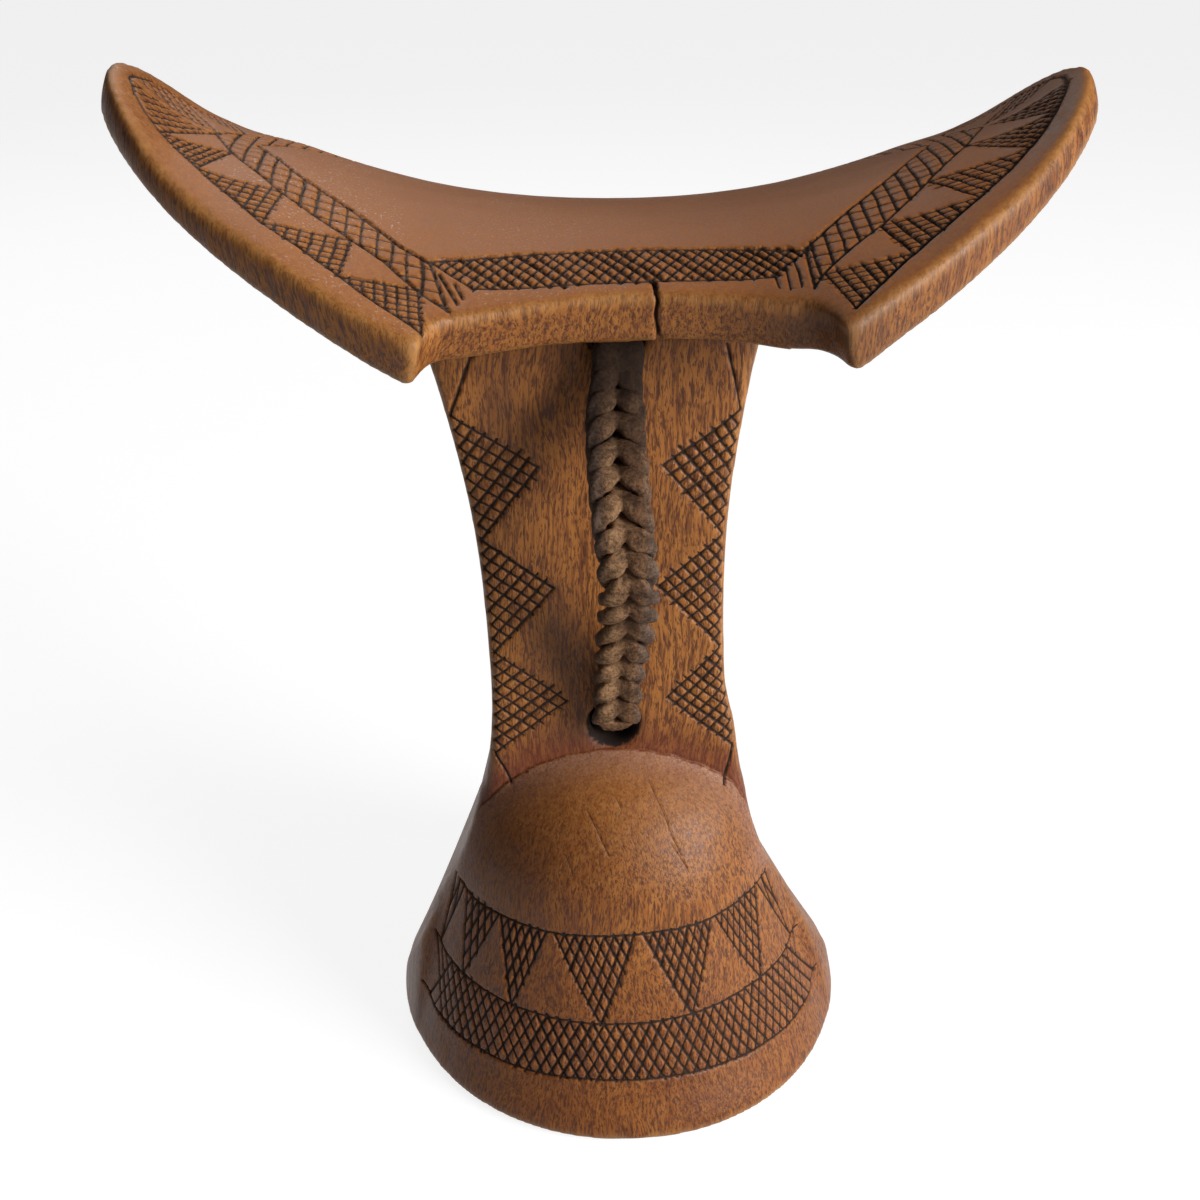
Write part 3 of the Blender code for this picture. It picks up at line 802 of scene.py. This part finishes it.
def uneven(mesh, charts):
    """Moves the skin by the millimetre or two by which the real block departs from the even solid."""
    places = positions(mesh)
    level = level_in_rim(places, charts)
    x, y, z = places.T.copy()
    out = np.abs(x)
    lift, sag, front, drop = (np.where(x < 0, *pair) for pair in (TIP_LIFT, WING_SAG, FRONT_SAG, RIM_DROP))
    dish = ease(z, *DISH_FROM)
    lift *= ease(out, *TIP_OUT) * level
    sag *= ease(out, *SAG_OUT) * level
    front *= ease(out, *FRONT_OUT) * ease(-y, *FRONT_AHEAD)
    rim = np.maximum(ease(out, *RIM_WING), ease(-y, *RIM_AHEAD))
    drop *= (1 - level) * ease(out, *RIM_OUT) * rim
    places[:, 2] += dish * (lift - sag - front - drop)
    places[:, 0] -= LEFT_REACH * dish * ease(-x, *REACH_LEFT)
    flank = ease(z, *COLUMN_ABOVE) * ease(z, *COLUMN_BELOW) * ease(out, *COLUMN_WITHIN)
    fuller = COLUMN_LEAST + (1 - COLUMN_LEAST) * ease(z, *COLUMN_FULL)
    places[:, 0] += COLUMN_WIDER * flank * ease(x, *COLUMN_RIGHT) * fuller
    shoulder = ease(x, *SHOULDER_RIGHT) * ease(z, *SHOULDER_ABOVE) * ease(z, *SHOULDER_BELOW)
    places[:, 0] += SHOULDER_WIDER * shoulder
    places[:, 0] -= FOOT_NARROWER * ease(x, *FOOT_RIGHT) * ease(z, *FOOT_BELOW) * ease(z, *FOOT_ABOVE)
    places[:, 1] -= FOOT_FORWARD * ease(-y, *TOE_AHEAD) * ease(z, *TOE_BELOW)
    put_positions(mesh, places)


def mark_wear_and_shade(mesh, seam):
    """Keeps for the shader where wax and crease shade, sheen and dust, stains and patches of painted shade,
    and the holes' painted shade lie.
    """
    places = positions(mesh)
    away = np.full(len(places), np.inf)
    for point in seam:
        away = np.minimum(away, np.linalg.norm(places - point, axis=1))
    above = np.abs(places[:, 1]) < COLUMN_BACK_Y + SEAM_STEP
    # Dust and a painted sheen on the dome's side of the seam
    put_layer(mesh, "sheen_and_dust", ~above * np.exp(-((away / SHEEN_AND_DUST_SPREAD) ** 2)))
    # Wax, darkest at the seam's crease, where it is also painted shade
    put_layer(mesh, "wax_and_crease_shade", np.where(above, 1.0, DOME_WAX_AND_SHADE) * np.exp(-((away / SEAM_SPREAD) ** 2)))
    # Stains and patches of painted shade, on the front only
    stain_and_shade = np.zeros(len(places))
    for x, z, wide, tall in STAIN_AND_SHADE_PATCHES:
        reach = ((places[:, 0] / MM - x) / wide) ** 2 + ((places[:, 2] / MM - z) / tall) ** 2
        stain_and_shade = np.maximum(stain_and_shade, np.exp(-reach) * (places[:, 1] < 0))
    put_layer(mesh, "stain_and_shade", stain_and_shade)
    # The holes' bores are painted near black as painted shade
    hole_shade = np.zeros(len(places))
    for height in (UPPER_HOLE, LOWER_HOLE):
        reach = np.hypot(places[:, 0], places[:, 2] - height) / HOLE_SHADE_REACH
        hole_shade = np.maximum(hole_shade, (reach < 1) * (np.abs(places[:, 1]) < COLUMN_BACK_Y))
    put_layer(mesh, "hole_shade", hole_shade)


def make_body(material):
    """The carved block: the CAD solid's skin, worn soft, with its pattern cut in."""
    mesh = remeshed(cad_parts["headrest_body"].data.copy(), BODY_FINE_VOXEL, BODY_ROUNDING)
    mesh = remeshed(mesh, BODY_VOXEL, BODY_SMOOTHING)
    put_layer(mesh, "bend", bend_of(mesh))
    carver = Carver(mesh)
    charts = Charts(carver.tree)
    carve_dish(carver, charts)
    carve_column(carver, charts)
    carve_foot(carver, charts)
    carve_crack(carver, charts)
    seam = carve_seam(carver, charts)
    carver.finish(mesh)
    mark_wear_and_shade(mesh, seam)
    uneven(mesh, charts)
    body = link("carved_body", mesh, material)
    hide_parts("headrest_body")
    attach(body, "headrest")


def loft(work, path, across, outward, halves, sides):
    """Adds a closed strip along a path, with an oval section given by its two half sizes."""
    turns = np.linspace(0, 2 * math.pi, sides, endpoint=False)
    wide = np.sign(np.cos(turns)) * np.abs(np.cos(turns)) ** LEG_SQUARE
    deep = np.sign(np.sin(turns)) * np.abs(np.sin(turns)) ** LEG_SQUARE
    rings = []
    for place, x, y, half in zip(path, across, outward, halves):
        ring = [place + x * (half[0] * a) + y * (half[1] * b) for a, b in zip(wide, deep)]
        rings.append([work.verts.new(Vector(point)) for point in ring])
    for first, second in zip(rings[:-1], rings[1:]):
        for index in range(sides):
            after = (index + 1) % sides
            work.faces.new((first[index], first[after], second[after], second[index]))
    work.faces.new(rings[0][::-1])
    work.faces.new(rings[-1])


def axes_along(path, reference):
    """Section axes at right angles to a path: across, and outward near a reference direction."""
    ahead = np.gradient(path, axis=0)
    ahead /= np.linalg.norm(ahead, axis=1)[:, None]
    across = np.cross(ahead, reference)
    across /= np.linalg.norm(across, axis=1)[:, None]
    return across, np.cross(across, ahead)


def leather_mesh(work, name):
    """One skin over the strips, with the small lumps of worn leather."""
    mesh = bpy.data.meshes.new(name)
    bmesh.ops.recalc_face_normals(work, faces=work.faces)
    work.to_mesh(mesh)
    work.free()
    skin = remeshed(mesh, LEATHER_VOXEL, LEATHER_SMOOTHING)
    places = positions(skin)
    coarse, fine = LUMP_SCALES
    lumps = np.array([
        noise.noise(Vector(place) * coarse) + LUMP_FINE_SHARE * noise.noise(Vector(place) * fine)
        for place in places
    ])
    put_positions(skin, places + normals(skin) * (LEATHER_LUMPS * lumps)[:, None])
    put_layer(skin, "lump", lumps)
    put_layer(skin, "across", places[:, 0] / STRAP_HALF_WIDTH)
    return skin


def strap_line():
    """Centre line of the strap at even steps, with its distance from the lower end."""
    bottom = LOWER_HOLE - STRAP_OVERRUN
    top = UPPER_HOLE + STRAP_OVERRUN
    z = np.linspace(bottom + STRAP_END_RISE, top, FINE_POINTS)
    share = np.clip((z - bottom - STRAP_NECK) / (top - bottom - 2 * STRAP_NECK), 0, 1)
    rise = np.clip(np.minimum(z - z[0], top - z) / CURL_RISE, 0, 1)
    curl = CURL_IN * (1 - np.sqrt(1 - (1 - rise) ** 2))
    x = sum(size * np.sin((index + 1) * math.pi * share) for index, size in enumerate(STRAP_SWAY))
    y = PIVOT_Y - STRAP_BOW * np.sin(math.pi * share ** BOW_SKEW) ** 2 + curl
    path = np.stack([x, y, z], 1)
    run = np.concatenate([[0], np.cumsum(np.linalg.norm(np.diff(path, axis=0), axis=1))])
    even = np.linspace(0, run[-1], STRAP_POINTS)
    return np.stack([np.interp(even, run, path[:, axis]) for axis in range(3)], 1), even


def strap_course():
    """The strap's centre line and its run, with the directions to the right and outward along it."""
    path, run = strap_line()
    right = np.tile((1.0, 0.0, 0.0), (len(path), 1))
    outward = np.cross(right, np.gradient(path, axis=0))
    outward /= np.linalg.norm(outward, axis=1)[:, None]
    return path, run, right, outward


def add_band(work, upper, path, run, right, outward):
    """The plain end of one strip, drawn in and rounded off towards its hole."""
    if upper:
        chosen = run > run[-1] - UPPER_BAND - LEG_TUCK
        share = np.clip((run[-1] - run[chosen]) / UPPER_TAPER, 0, 1)
        half = UPPER_BAND_HALF
    else:
        chosen = run < LOWER_BAND + LEG_TUCK
        share = np.clip(run[chosen] / LOWER_TAPER, 0, 1)
        half = LOWER_BAND_HALF
    closed = np.sqrt(np.clip(1 - (1 - share / END_ROUND).clip(0, 1) ** 2, END_LEAST, 1))
    halves = (NECK_RADIUS + np.outer(ease(share, 0, 1), np.array(half) - NECK_RADIUS)) * closed[:, None]
    rows = [values[chosen][::BAND_SKIP] for values in (path, right, outward)]
    loft(work, *rows, halves[::BAND_SKIP], BAND_SIDES)


def add_legs(work, upper, path, run, right, outward):
    """The two legs of one strip, drawn in and spread by turns, and the upper strip's thin core."""
    sign = 1 if upper else -1
    low, high = LOWER_BAND, run[-1] - UPPER_BAND
    chosen = (run > low - LEG_TUCK) & (run < high + LEG_TUCK)
    level = path[:, 2] + LEAF_SLANT * path[:, 1]
    ends = np.interp((low, high), run, level)
    path, right, outward = path[chosen], right[chosen], outward[chosen]
    leaf = LEAVES * np.clip((level[chosen] - ends[0]) / (ends[1] - ends[0]), 0, 1)
    fade = np.sin(math.pi * leaf / LEAVES)
    drift = sum(size * np.sin(rate * leaf + start) for size, rate, start in LEAF_DRIFT)
    phase = math.pi * (leaf + fade * drift)
    bow = np.clip((PIVOT_Y - path[:, 1]) / FULL_WIDTH_BOW, 0, 1)
    wider = WIDER_TOP + WIDER_LOW * (1 - leaf / LEAVES)
    narrow = wider * (END_NARROW + (1 - END_NARROW) * bow)
    if upper:
        core = path - outward * CORE_DEPTH
        loft(work, core, right, outward, np.tile(CORE_HALF, (len(core), 1)), LEG_SIDES)
    sway = (LEG_FAR - LEG_NEAR) / 2
    bulge = np.sin(phase) ** 2
    halves = np.stack([LEG_HALF[0] + LEG_SPREAD * bulge, LEG_HALF[1] - LEG_FLATTEN * bulge], 1)
    out = -sign * LEG_WAVE * np.sin(phase)
    for side in (-1, 1):
        aside = side * narrow * (LEG_NEAR + sway * (1 - sign * np.cos(phase)))
        leg = path + right * aside[:, None] + outward * out[:, None]
        x, y = axes_along(leg, outward)
        loft(work, leg, x, y, halves, LEG_SIDES)


def make_thong(name, node, upper, material):
    """One slit strip: its plain end in the hole and two legs that loop through the other strip's slit."""
    course = strap_course()
    work = bmesh.new()
    add_band(work, upper, *course)
    add_legs(work, upper, *course)
    piece = link(name, leather_mesh(work, name), material)
    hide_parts(node)
    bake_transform(piece)


def bezier(points, count):
    """A smooth curve through four control points."""
    t = np.linspace(0, 1, count)[:, None]
    a, b, c, d = (np.array(point) for point in points)
    return a * (1 - t) ** 3 + 3 * b * t * (1 - t) ** 2 + 3 * c * t * t * (1 - t) + d * t ** 3


def make_knot(name, node, height, tails, material):
    """An overhand knot behind the column, its stem in the hole and two loose ends."""
    work = bmesh.new()
    centre = np.array((0.0, COLUMN_BACK_Y + KNOT_OUT, height))
    turn = np.linspace(0, 2 * math.pi, KNOT_POINTS)
    wide = KNOT_HALF_WIDTH / 3
    ring = np.stack([
        wide * (np.sin(turn) + 2 * np.sin(2 * turn)),
        -KNOT_DEPTH * np.sin(3 * turn),
        wide * (np.cos(turn) - 2 * np.cos(2 * turn)),
    ], 1) + centre
    x, y = axes_along(ring, (0.0, 1.0, 0.0))
    loft(work, ring, x, y, np.tile(KNOT_CORD, (len(ring), 1)), KNOT_SIDES)
    stem = np.linspace((0.0, STEM_FRONT_Y, height), centre, STEM_POINTS)
    x, y = axes_along(stem, (0.0, 0.0, 1.0))
    loft(work, stem, x, y, np.full((len(stem), 2), STEM_RADIUS), STEM_SIDES)
    for offsets in tails:
        path = bezier([centre + np.array(offset) * MM for offset in offsets], TAIL_POINTS)
        x, y = axes_along(path, (0.0, 1.0, 0.0))
        fade = np.linspace(1, TAIL_TIP, len(path))[:, None]
        loft(work, path, x, y, np.array(TAIL_HALF) * fade, TAIL_SIDES)
    piece = link(name, leather_mesh(work, name), material)
    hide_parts(node)
    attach(piece, "headrest")


class Shader:
    """A short way to build a material from nodes."""

    def __init__(self, name):
        self.material = bpy.data.materials.new(name)
        self.material.use_nodes = True
        self.tree = self.material.node_tree
        self.tree.nodes.clear()
        self.output = self.tree.nodes.new("ShaderNodeOutputMaterial")

    def node(self, kind, inputs=(), **settings):
        """Adds a node; an input value that is a socket is linked, any other is set."""
        made = self.tree.nodes.new(kind)
        for key, value in settings.items():
            setattr(made, key, value)
        for key, value in dict(inputs).items():
            if isinstance(value, bpy.types.NodeSocket):
                self.tree.links.new(value, made.inputs[key])
            else:
                made.inputs[key].default_value = value
        return made

    def noise(self, coordinates, scale, detail=3.0, rough=0.55):
        """Noise with its own scale on each axis, in features per metre."""
        stretched = self.node("ShaderNodeMapping", {"Vector": coordinates, "Scale": scale})
        made = self.node("ShaderNodeTexNoise", {
            "Vector": stretched.outputs["Vector"], "Scale": 1.0, "Detail": detail, "Roughness": rough,
        })
        return made.outputs["Fac"]

    def steps(self, value, low, high, start=0.0, end=1.0):
        """Maps a range of a value to another range, held at its ends."""
        made = self.node("ShaderNodeMapRange", {
            "Value": value, "From Min": low, "From Max": high, "To Min": start, "To Max": end,
        })
        return made.outputs["Result"]

    def mix(self, share, a, b, blend="MIX"):
        """Mixes two colours by a share."""
        made = self.node("ShaderNodeMix", data_type="RGBA", blend_type=blend)
        for index, value in ((0, share), (6, a), (7, b)):
            if isinstance(value, bpy.types.NodeSocket):
                self.tree.links.new(value, made.inputs[index])
            elif index:
                made.inputs[index].default_value = (*value, 1.0)
            else:
                made.inputs[index].default_value = value
        return made.outputs[2]

    def math(self, operation, a, b):
        """One sum of two values."""
        return self.node("ShaderNodeMath", {0: a, 1: b}, operation=operation).outputs["Value"]

    def times(self, a, b):
        """The product of two values."""
        return self.math("MULTIPLY", a, b)

    def layer(self, name):
        """A number kept on the mesh."""
        return self.node("ShaderNodeAttribute", attribute_name=name).outputs["Fac"]

    def bump(self, height, strength, distance, under=None):
        """Bump of a given depth in metres, on top of another bump."""
        inputs = {"Height": height, "Strength": strength, "Distance": distance}
        if under:
            inputs["Normal"] = under
        return self.node("ShaderNodeBump", inputs).outputs["Normal"]

    def surface(self, inputs):
        """The principled shader at the end."""
        made = self.node("ShaderNodeBsdfPrincipled", inputs)
        self.tree.links.new(made.outputs["BSDF"], self.output.inputs["Surface"])
        return self.material


def wood_noises(s, place):
    """The wood's noises by name: along a grain that sways, except for the dust on it."""
    waves = {"Vector": place, "Scale": GRAIN_SWAY_SCALE, "Detail": 1.0}
    sway = s.node("ShaderNodeTexNoise", waves).outputs["Color"]
    shift = s.node("ShaderNodeVectorMath", {0: sway, 1: GRAIN_SWAY}, operation="MULTIPLY").outputs[0]
    grain = s.node("ShaderNodeVectorMath", {0: place, 1: shift}, operation="ADD").outputs[0]
    made = {name: s.noise(grain, *numbers) for name, numbers in WOOD_NOISES.items()}
    made["dust"] = s.noise(place, *DUST)
    return made


def grain_colour(s, noises, height, upright):
    """Streaked brown wood with dark hairs, golden on the column and redder towards the floor."""
    colour = s.mix(s.steps(noises["figure"], 0.34, 0.66), WOOD_DARK, WOOD_LIGHT)
    colour = s.mix(s.steps(noises["streak"], 0.36, 0.66, 0.0, 0.65), colour, WOOD_STREAK)
    colour = s.mix(s.steps(noises["broad"], 0.32, 0.55, 0.45, 0.0), colour, WOOD_SHADOW)
    gold = s.times(s.steps(height, *GOLD_ABOVE), s.steps(height, *GOLD_BELOW))
    colour = s.mix(s.times(gold, 0.45), colour, WOOD_GOLD)
    colour = s.mix(s.steps(height, *RED_BELOW, 0.0, 0.38), colour, WOOD_RED)
    hairs = s.times(upright, s.steps(noises["hairs"], 0.36, 0.52, 0.75, 0.0))
    return s.mix(hairs, colour, WOOD_HAIR)


def dish_colour(s, noises, colour, dish, left):
    """The dish's evenly worn top, paler towards its left with a painted sheen and dust, and powdery there.
    """
    colour = s.mix(s.times(dish, 0.60), colour, WOOD_DISH)
    # Painted sheen with dust on the dish's left
    colour = s.mix(s.times(left, 0.25), colour, PALE_SHEEN_AND_DUST)
    powder = s.times(s.steps(noises["dust"], 0.60, 0.70), s.steps(noises["figure"], 0.42, 0.60))
    return s.mix(s.times(s.times(left, powder), 0.7), colour, WOOD_POWDER)


def wear_and_light_colour(s, noises, colour):
    """Pale rubbed edges with a painted highlight, wax with painted shade along the dome's seam, a painted
    sheen with dust beside it, and stains with patches of painted shade.
    """
    # Convex edges painted pale: partly rubbed wear, partly a painted highlight
    edge_wear_and_highlight = s.times(s.steps(s.layer("bend"), 0.025, 0.11), s.steps(noises["streak"], 0.25, 0.60, 0.45, 1.0))
    colour = s.mix(s.times(edge_wear_and_highlight, 0.8), colour, RUBBED_EDGE_HIGHLIGHT)
    # Dark red along the dome's seam: wax, with painted shade in the crease
    wax_and_crease_shade = s.times(s.layer("wax_and_crease_shade"), s.steps(noises["flecks"], 0.30, 0.65, 1.0, 0.60))
    colour = s.mix(wax_and_crease_shade, colour, WAX_AND_CREASE_SHADE)
    # Pale on the dome's top edge by its seam: dust with a painted sheen
    sheen_and_dust = s.times(s.layer("sheen_and_dust"), s.steps(noises["dust"], 0.35, 0.65, 0.1, 0.55))
    colour = s.mix(sheen_and_dust, colour, SHEEN_AND_DUST_COLOUR)
    # Stains and patches of painted shade
    return s.mix(s.times(s.layer("stain_and_shade"), 0.55), colour, STAIN_AND_SHADE_COLOUR)


def wood_material():
    """Worn, oiled brown wood with upright pores, cuts painted dark as painted shade, and pale rubbed edges
    with a painted highlight.
    """
    s = Shader("worn_wood")
    place = s.node("ShaderNodeTexCoord").outputs["Object"]
    axes = s.node("ShaderNodeSeparateXYZ", {"Vector": place}).outputs
    facing = s.node("ShaderNodeNewGeometry").outputs["Normal"]
    upward = s.node("ShaderNodeSeparateXYZ", {"Vector": facing}).outputs["Z"]
    noises = wood_noises(s, place)
    upright = s.steps(upward, 0.30, 0.80, 1.0, 0.40)
    dish = s.times(s.steps(upward, 0.70, 0.92), s.steps(axes["Z"], *DISH_TOP_ABOVE))
    left = s.times(dish, s.steps(axes["X"], *DISH_LEFT))
    pores = s.steps(noises["pores"], 0.36, 0.48, 0.75, 0.0)
    fleck = s.times(upright, s.math("MAXIMUM", pores, s.steps(noises["flecks"], 0.37, 0.46, 0.85, 0.0)))
    # Painted shade: the cut lines are painted dark towards the bottom of each groove, paler with dust on the
    # dish's left
    dark = s.steps(s.layer("carve"), 0.20, 0.70)
    cut = s.mix(s.times(left, 0.9), CUT_SHADE, CUT_PALE)
    hole_shade = s.layer("hole_shade")
    colour = grain_colour(s, noises, axes["Z"], upright)
    colour = s.mix(fleck, colour, WOOD_FLECK)
    colour = dish_colour(s, noises, colour, dish, left)
    colour = wear_and_light_colour(s, noises, colour)
    colour = s.mix(s.times(dark, 0.95), colour, cut)
    # Painted shade in the holes
    colour = s.mix(s.times(hole_shade, 0.95), colour, HOLE_SHADE_COLOUR)
    matt = s.times(s.math("MAXIMUM", dark, hole_shade), 0.35)
    rough = s.math("ADD", s.steps(noises["streak"], 0.3, 0.7, 0.38, 0.54), matt)
    normal = s.bump(fleck, 0.30, -PORE_DEPTH)
    normal = s.bump(noises["streak"], 0.22, GRAIN_RISE, normal)
    return s.surface({
        "Base Color": colour, "Roughness": rough, "Specular IOR Level": WOOD_GLOSS, "Normal": normal,
    })


def leather_material(name, dark, tan, grey):
    """Rough, suede-like leather: tan in patches and, as painted light, on its left half, with painted shade
    in the hollows of its lumps, grey-brown on the outer edges.
    """
    s = Shader(name)
    place = s.node("ShaderNodeTexCoord").outputs["Object"]
    height = s.node("ShaderNodeSeparateXYZ", {"Vector": place}).outputs["Z"]
    nap = s.noise(place, *NAP)
    patch = s.noise(place, *PATCHES)
    across = s.layer("across")
    # Tan on the left half is painted light; tan in random patches is the leather's own tone
    left = s.times(s.steps(across, 0.22, -0.20), s.steps(across, -0.80, -0.50))
    left = s.times(left, s.steps(patch, 0.30, 0.55, 0.5, 1.0))
    tan_lit_and_patches = s.math("MAXIMUM", left, s.steps(patch, 0.48, 0.64, 0.0, 0.7))
    outer = s.math("MAXIMUM", s.steps(across, -0.60, -0.90), s.steps(across, 0.60, 0.90))
    colour = s.mix(tan_lit_and_patches, dark, tan)
    colour = s.mix(s.times(outer, 0.8), colour, grey)
    # Painted shade in the hollows of the lumps
    colour = s.mix(s.steps(s.layer("lump"), 0.0, -0.6, 0.0, 0.5), colour, HOLLOW_SHADE)
    colour = s.mix(s.steps(nap, 0.38, 0.58, 0.75, 0.0), colour, NAP_COLOUR)
    colour = s.mix(s.steps(height, *SHADED_ABOVE, 0.0, 0.90), colour, SHADED_COLOUR)
    normal = s.bump(nap, 0.8, NAP_DEPTH)
    return s.surface({
        "Base Color": colour, "Roughness": LEATHER_ROUGHNESS, "Specular IOR Level": LEATHER_GLOSS,
        "Normal": normal,
    })


def floor_material():
    """Plain pale floor, white to the camera where nothing shades it."""
    s = Shader("pale_floor")
    ray = s.node("ShaderNodeLightPath")
    seen = s.math("MAXIMUM", ray.outputs["Is Camera Ray"], ray.outputs["Is Glossy Ray"])
    seen = s.math("MAXIMUM", seen, ray.outputs["Is Transmission Ray"])
    matt = s.node("ShaderNodeBsdfDiffuse", {"Color": FLOOR_SEEN})
    glow = s.node("ShaderNodeEmission", {"Color": WHITE, "Strength": FLOOR_GLOW})
    both = s.node("ShaderNodeAddShader", {0: matt.outputs[0], 1: glow.outputs[0]})
    plain = s.node("ShaderNodeBsdfDiffuse", {"Color": FLOOR_UNSEEN})
    made = s.node("ShaderNodeMixShader", {0: seen, 1: plain.outputs[0], 2: both.outputs[0]})
    s.tree.links.new(made.outputs[0], s.output.inputs["Surface"])
    return s.material


def add_floor():
    """A wide floor just under the foot."""
    mesh = bpy.data.meshes.new("floor")
    signs = ((-1, -1), (1, -1), (1, 1), (-1, 1))
    corners = [(x * FLOOR_REACH, y * FLOOR_REACH, FLOOR_LEVEL) for x, y in signs]
    mesh.from_pydata(corners, [], [(0, 1, 2, 3)])
    link("floor", mesh, floor_material())


def add_light(name, place, size, power):
    """A square soft light aimed at the column."""
    lamp = bpy.data.lights.new(name, "AREA")
    lamp.size = size
    lamp.energy = power
    holder = bpy.data.objects.new(name, lamp)
    holder.location = place
    holder.rotation_euler = (Vector(LIGHT_TARGET) - Vector(place)).to_track_quat("-Z", "Y").to_euler()
    scene.collection.objects.link(holder)


def add_world():
    """Even white surroundings."""
    world = bpy.data.worlds.new("studio")
    world.use_nodes = True
    background = world.node_tree.nodes["Background"]
    background.inputs["Color"].default_value = WHITE
    background.inputs["Strength"].default_value = WORLD_STRENGTH
    scene.world = world


def add_camera():
    """The camera that the photograph was taken from, as fitted to its outline."""
    yaw, pitch, roll = (math.radians(value) for value in (CAMERA_YAW, CAMERA_PITCH, CAMERA_ROLL))
    look = Vector((math.sin(yaw) * math.cos(pitch), math.cos(yaw) * math.cos(pitch), -math.sin(pitch)))
    level = Vector((math.cos(yaw), -math.sin(yaw), 0))
    up = level.cross(look)
    right = level * math.cos(roll) + up * math.sin(roll)
    top = up * math.cos(roll) - level * math.sin(roll)
    lens = bpy.data.cameras.new("camera")
    lens.lens = CAMERA_LENS
    lens.sensor_width = CAMERA_SENSOR
    lens.clip_start = CAMERA_NEAR
    holder = bpy.data.objects.new("camera", lens)
    matrix = Matrix((right, top, -look)).transposed().to_4x4()
    matrix.translation = CAMERA_PLACE
    holder.matrix_world = matrix
    scene.collection.objects.link(holder)
    scene.camera = holder


make_body(wood_material())
suede = leather_material("strap_suede", *STRAP_LEATHER)
tail_suede = leather_material("tail_suede", *TAIL_LEATHER)
make_thong("plaited_upper_thong", "upper_thong", True, suede)
make_thong("plaited_lower_thong", "lower_thong", False, suede)
make_knot("knotted_upper_end", "upper_knot", UPPER_HOLE, UPPER_TAILS, tail_suede)
make_knot("knotted_lower_end", "lower_knot", LOWER_HOLE, LOWER_TAILS, tail_suede)
add_floor()
add_world()
for name, numbers in LIGHTS.items():
    add_light(name, *numbers)
add_camera()
scene.view_settings.view_transform = "Standard"
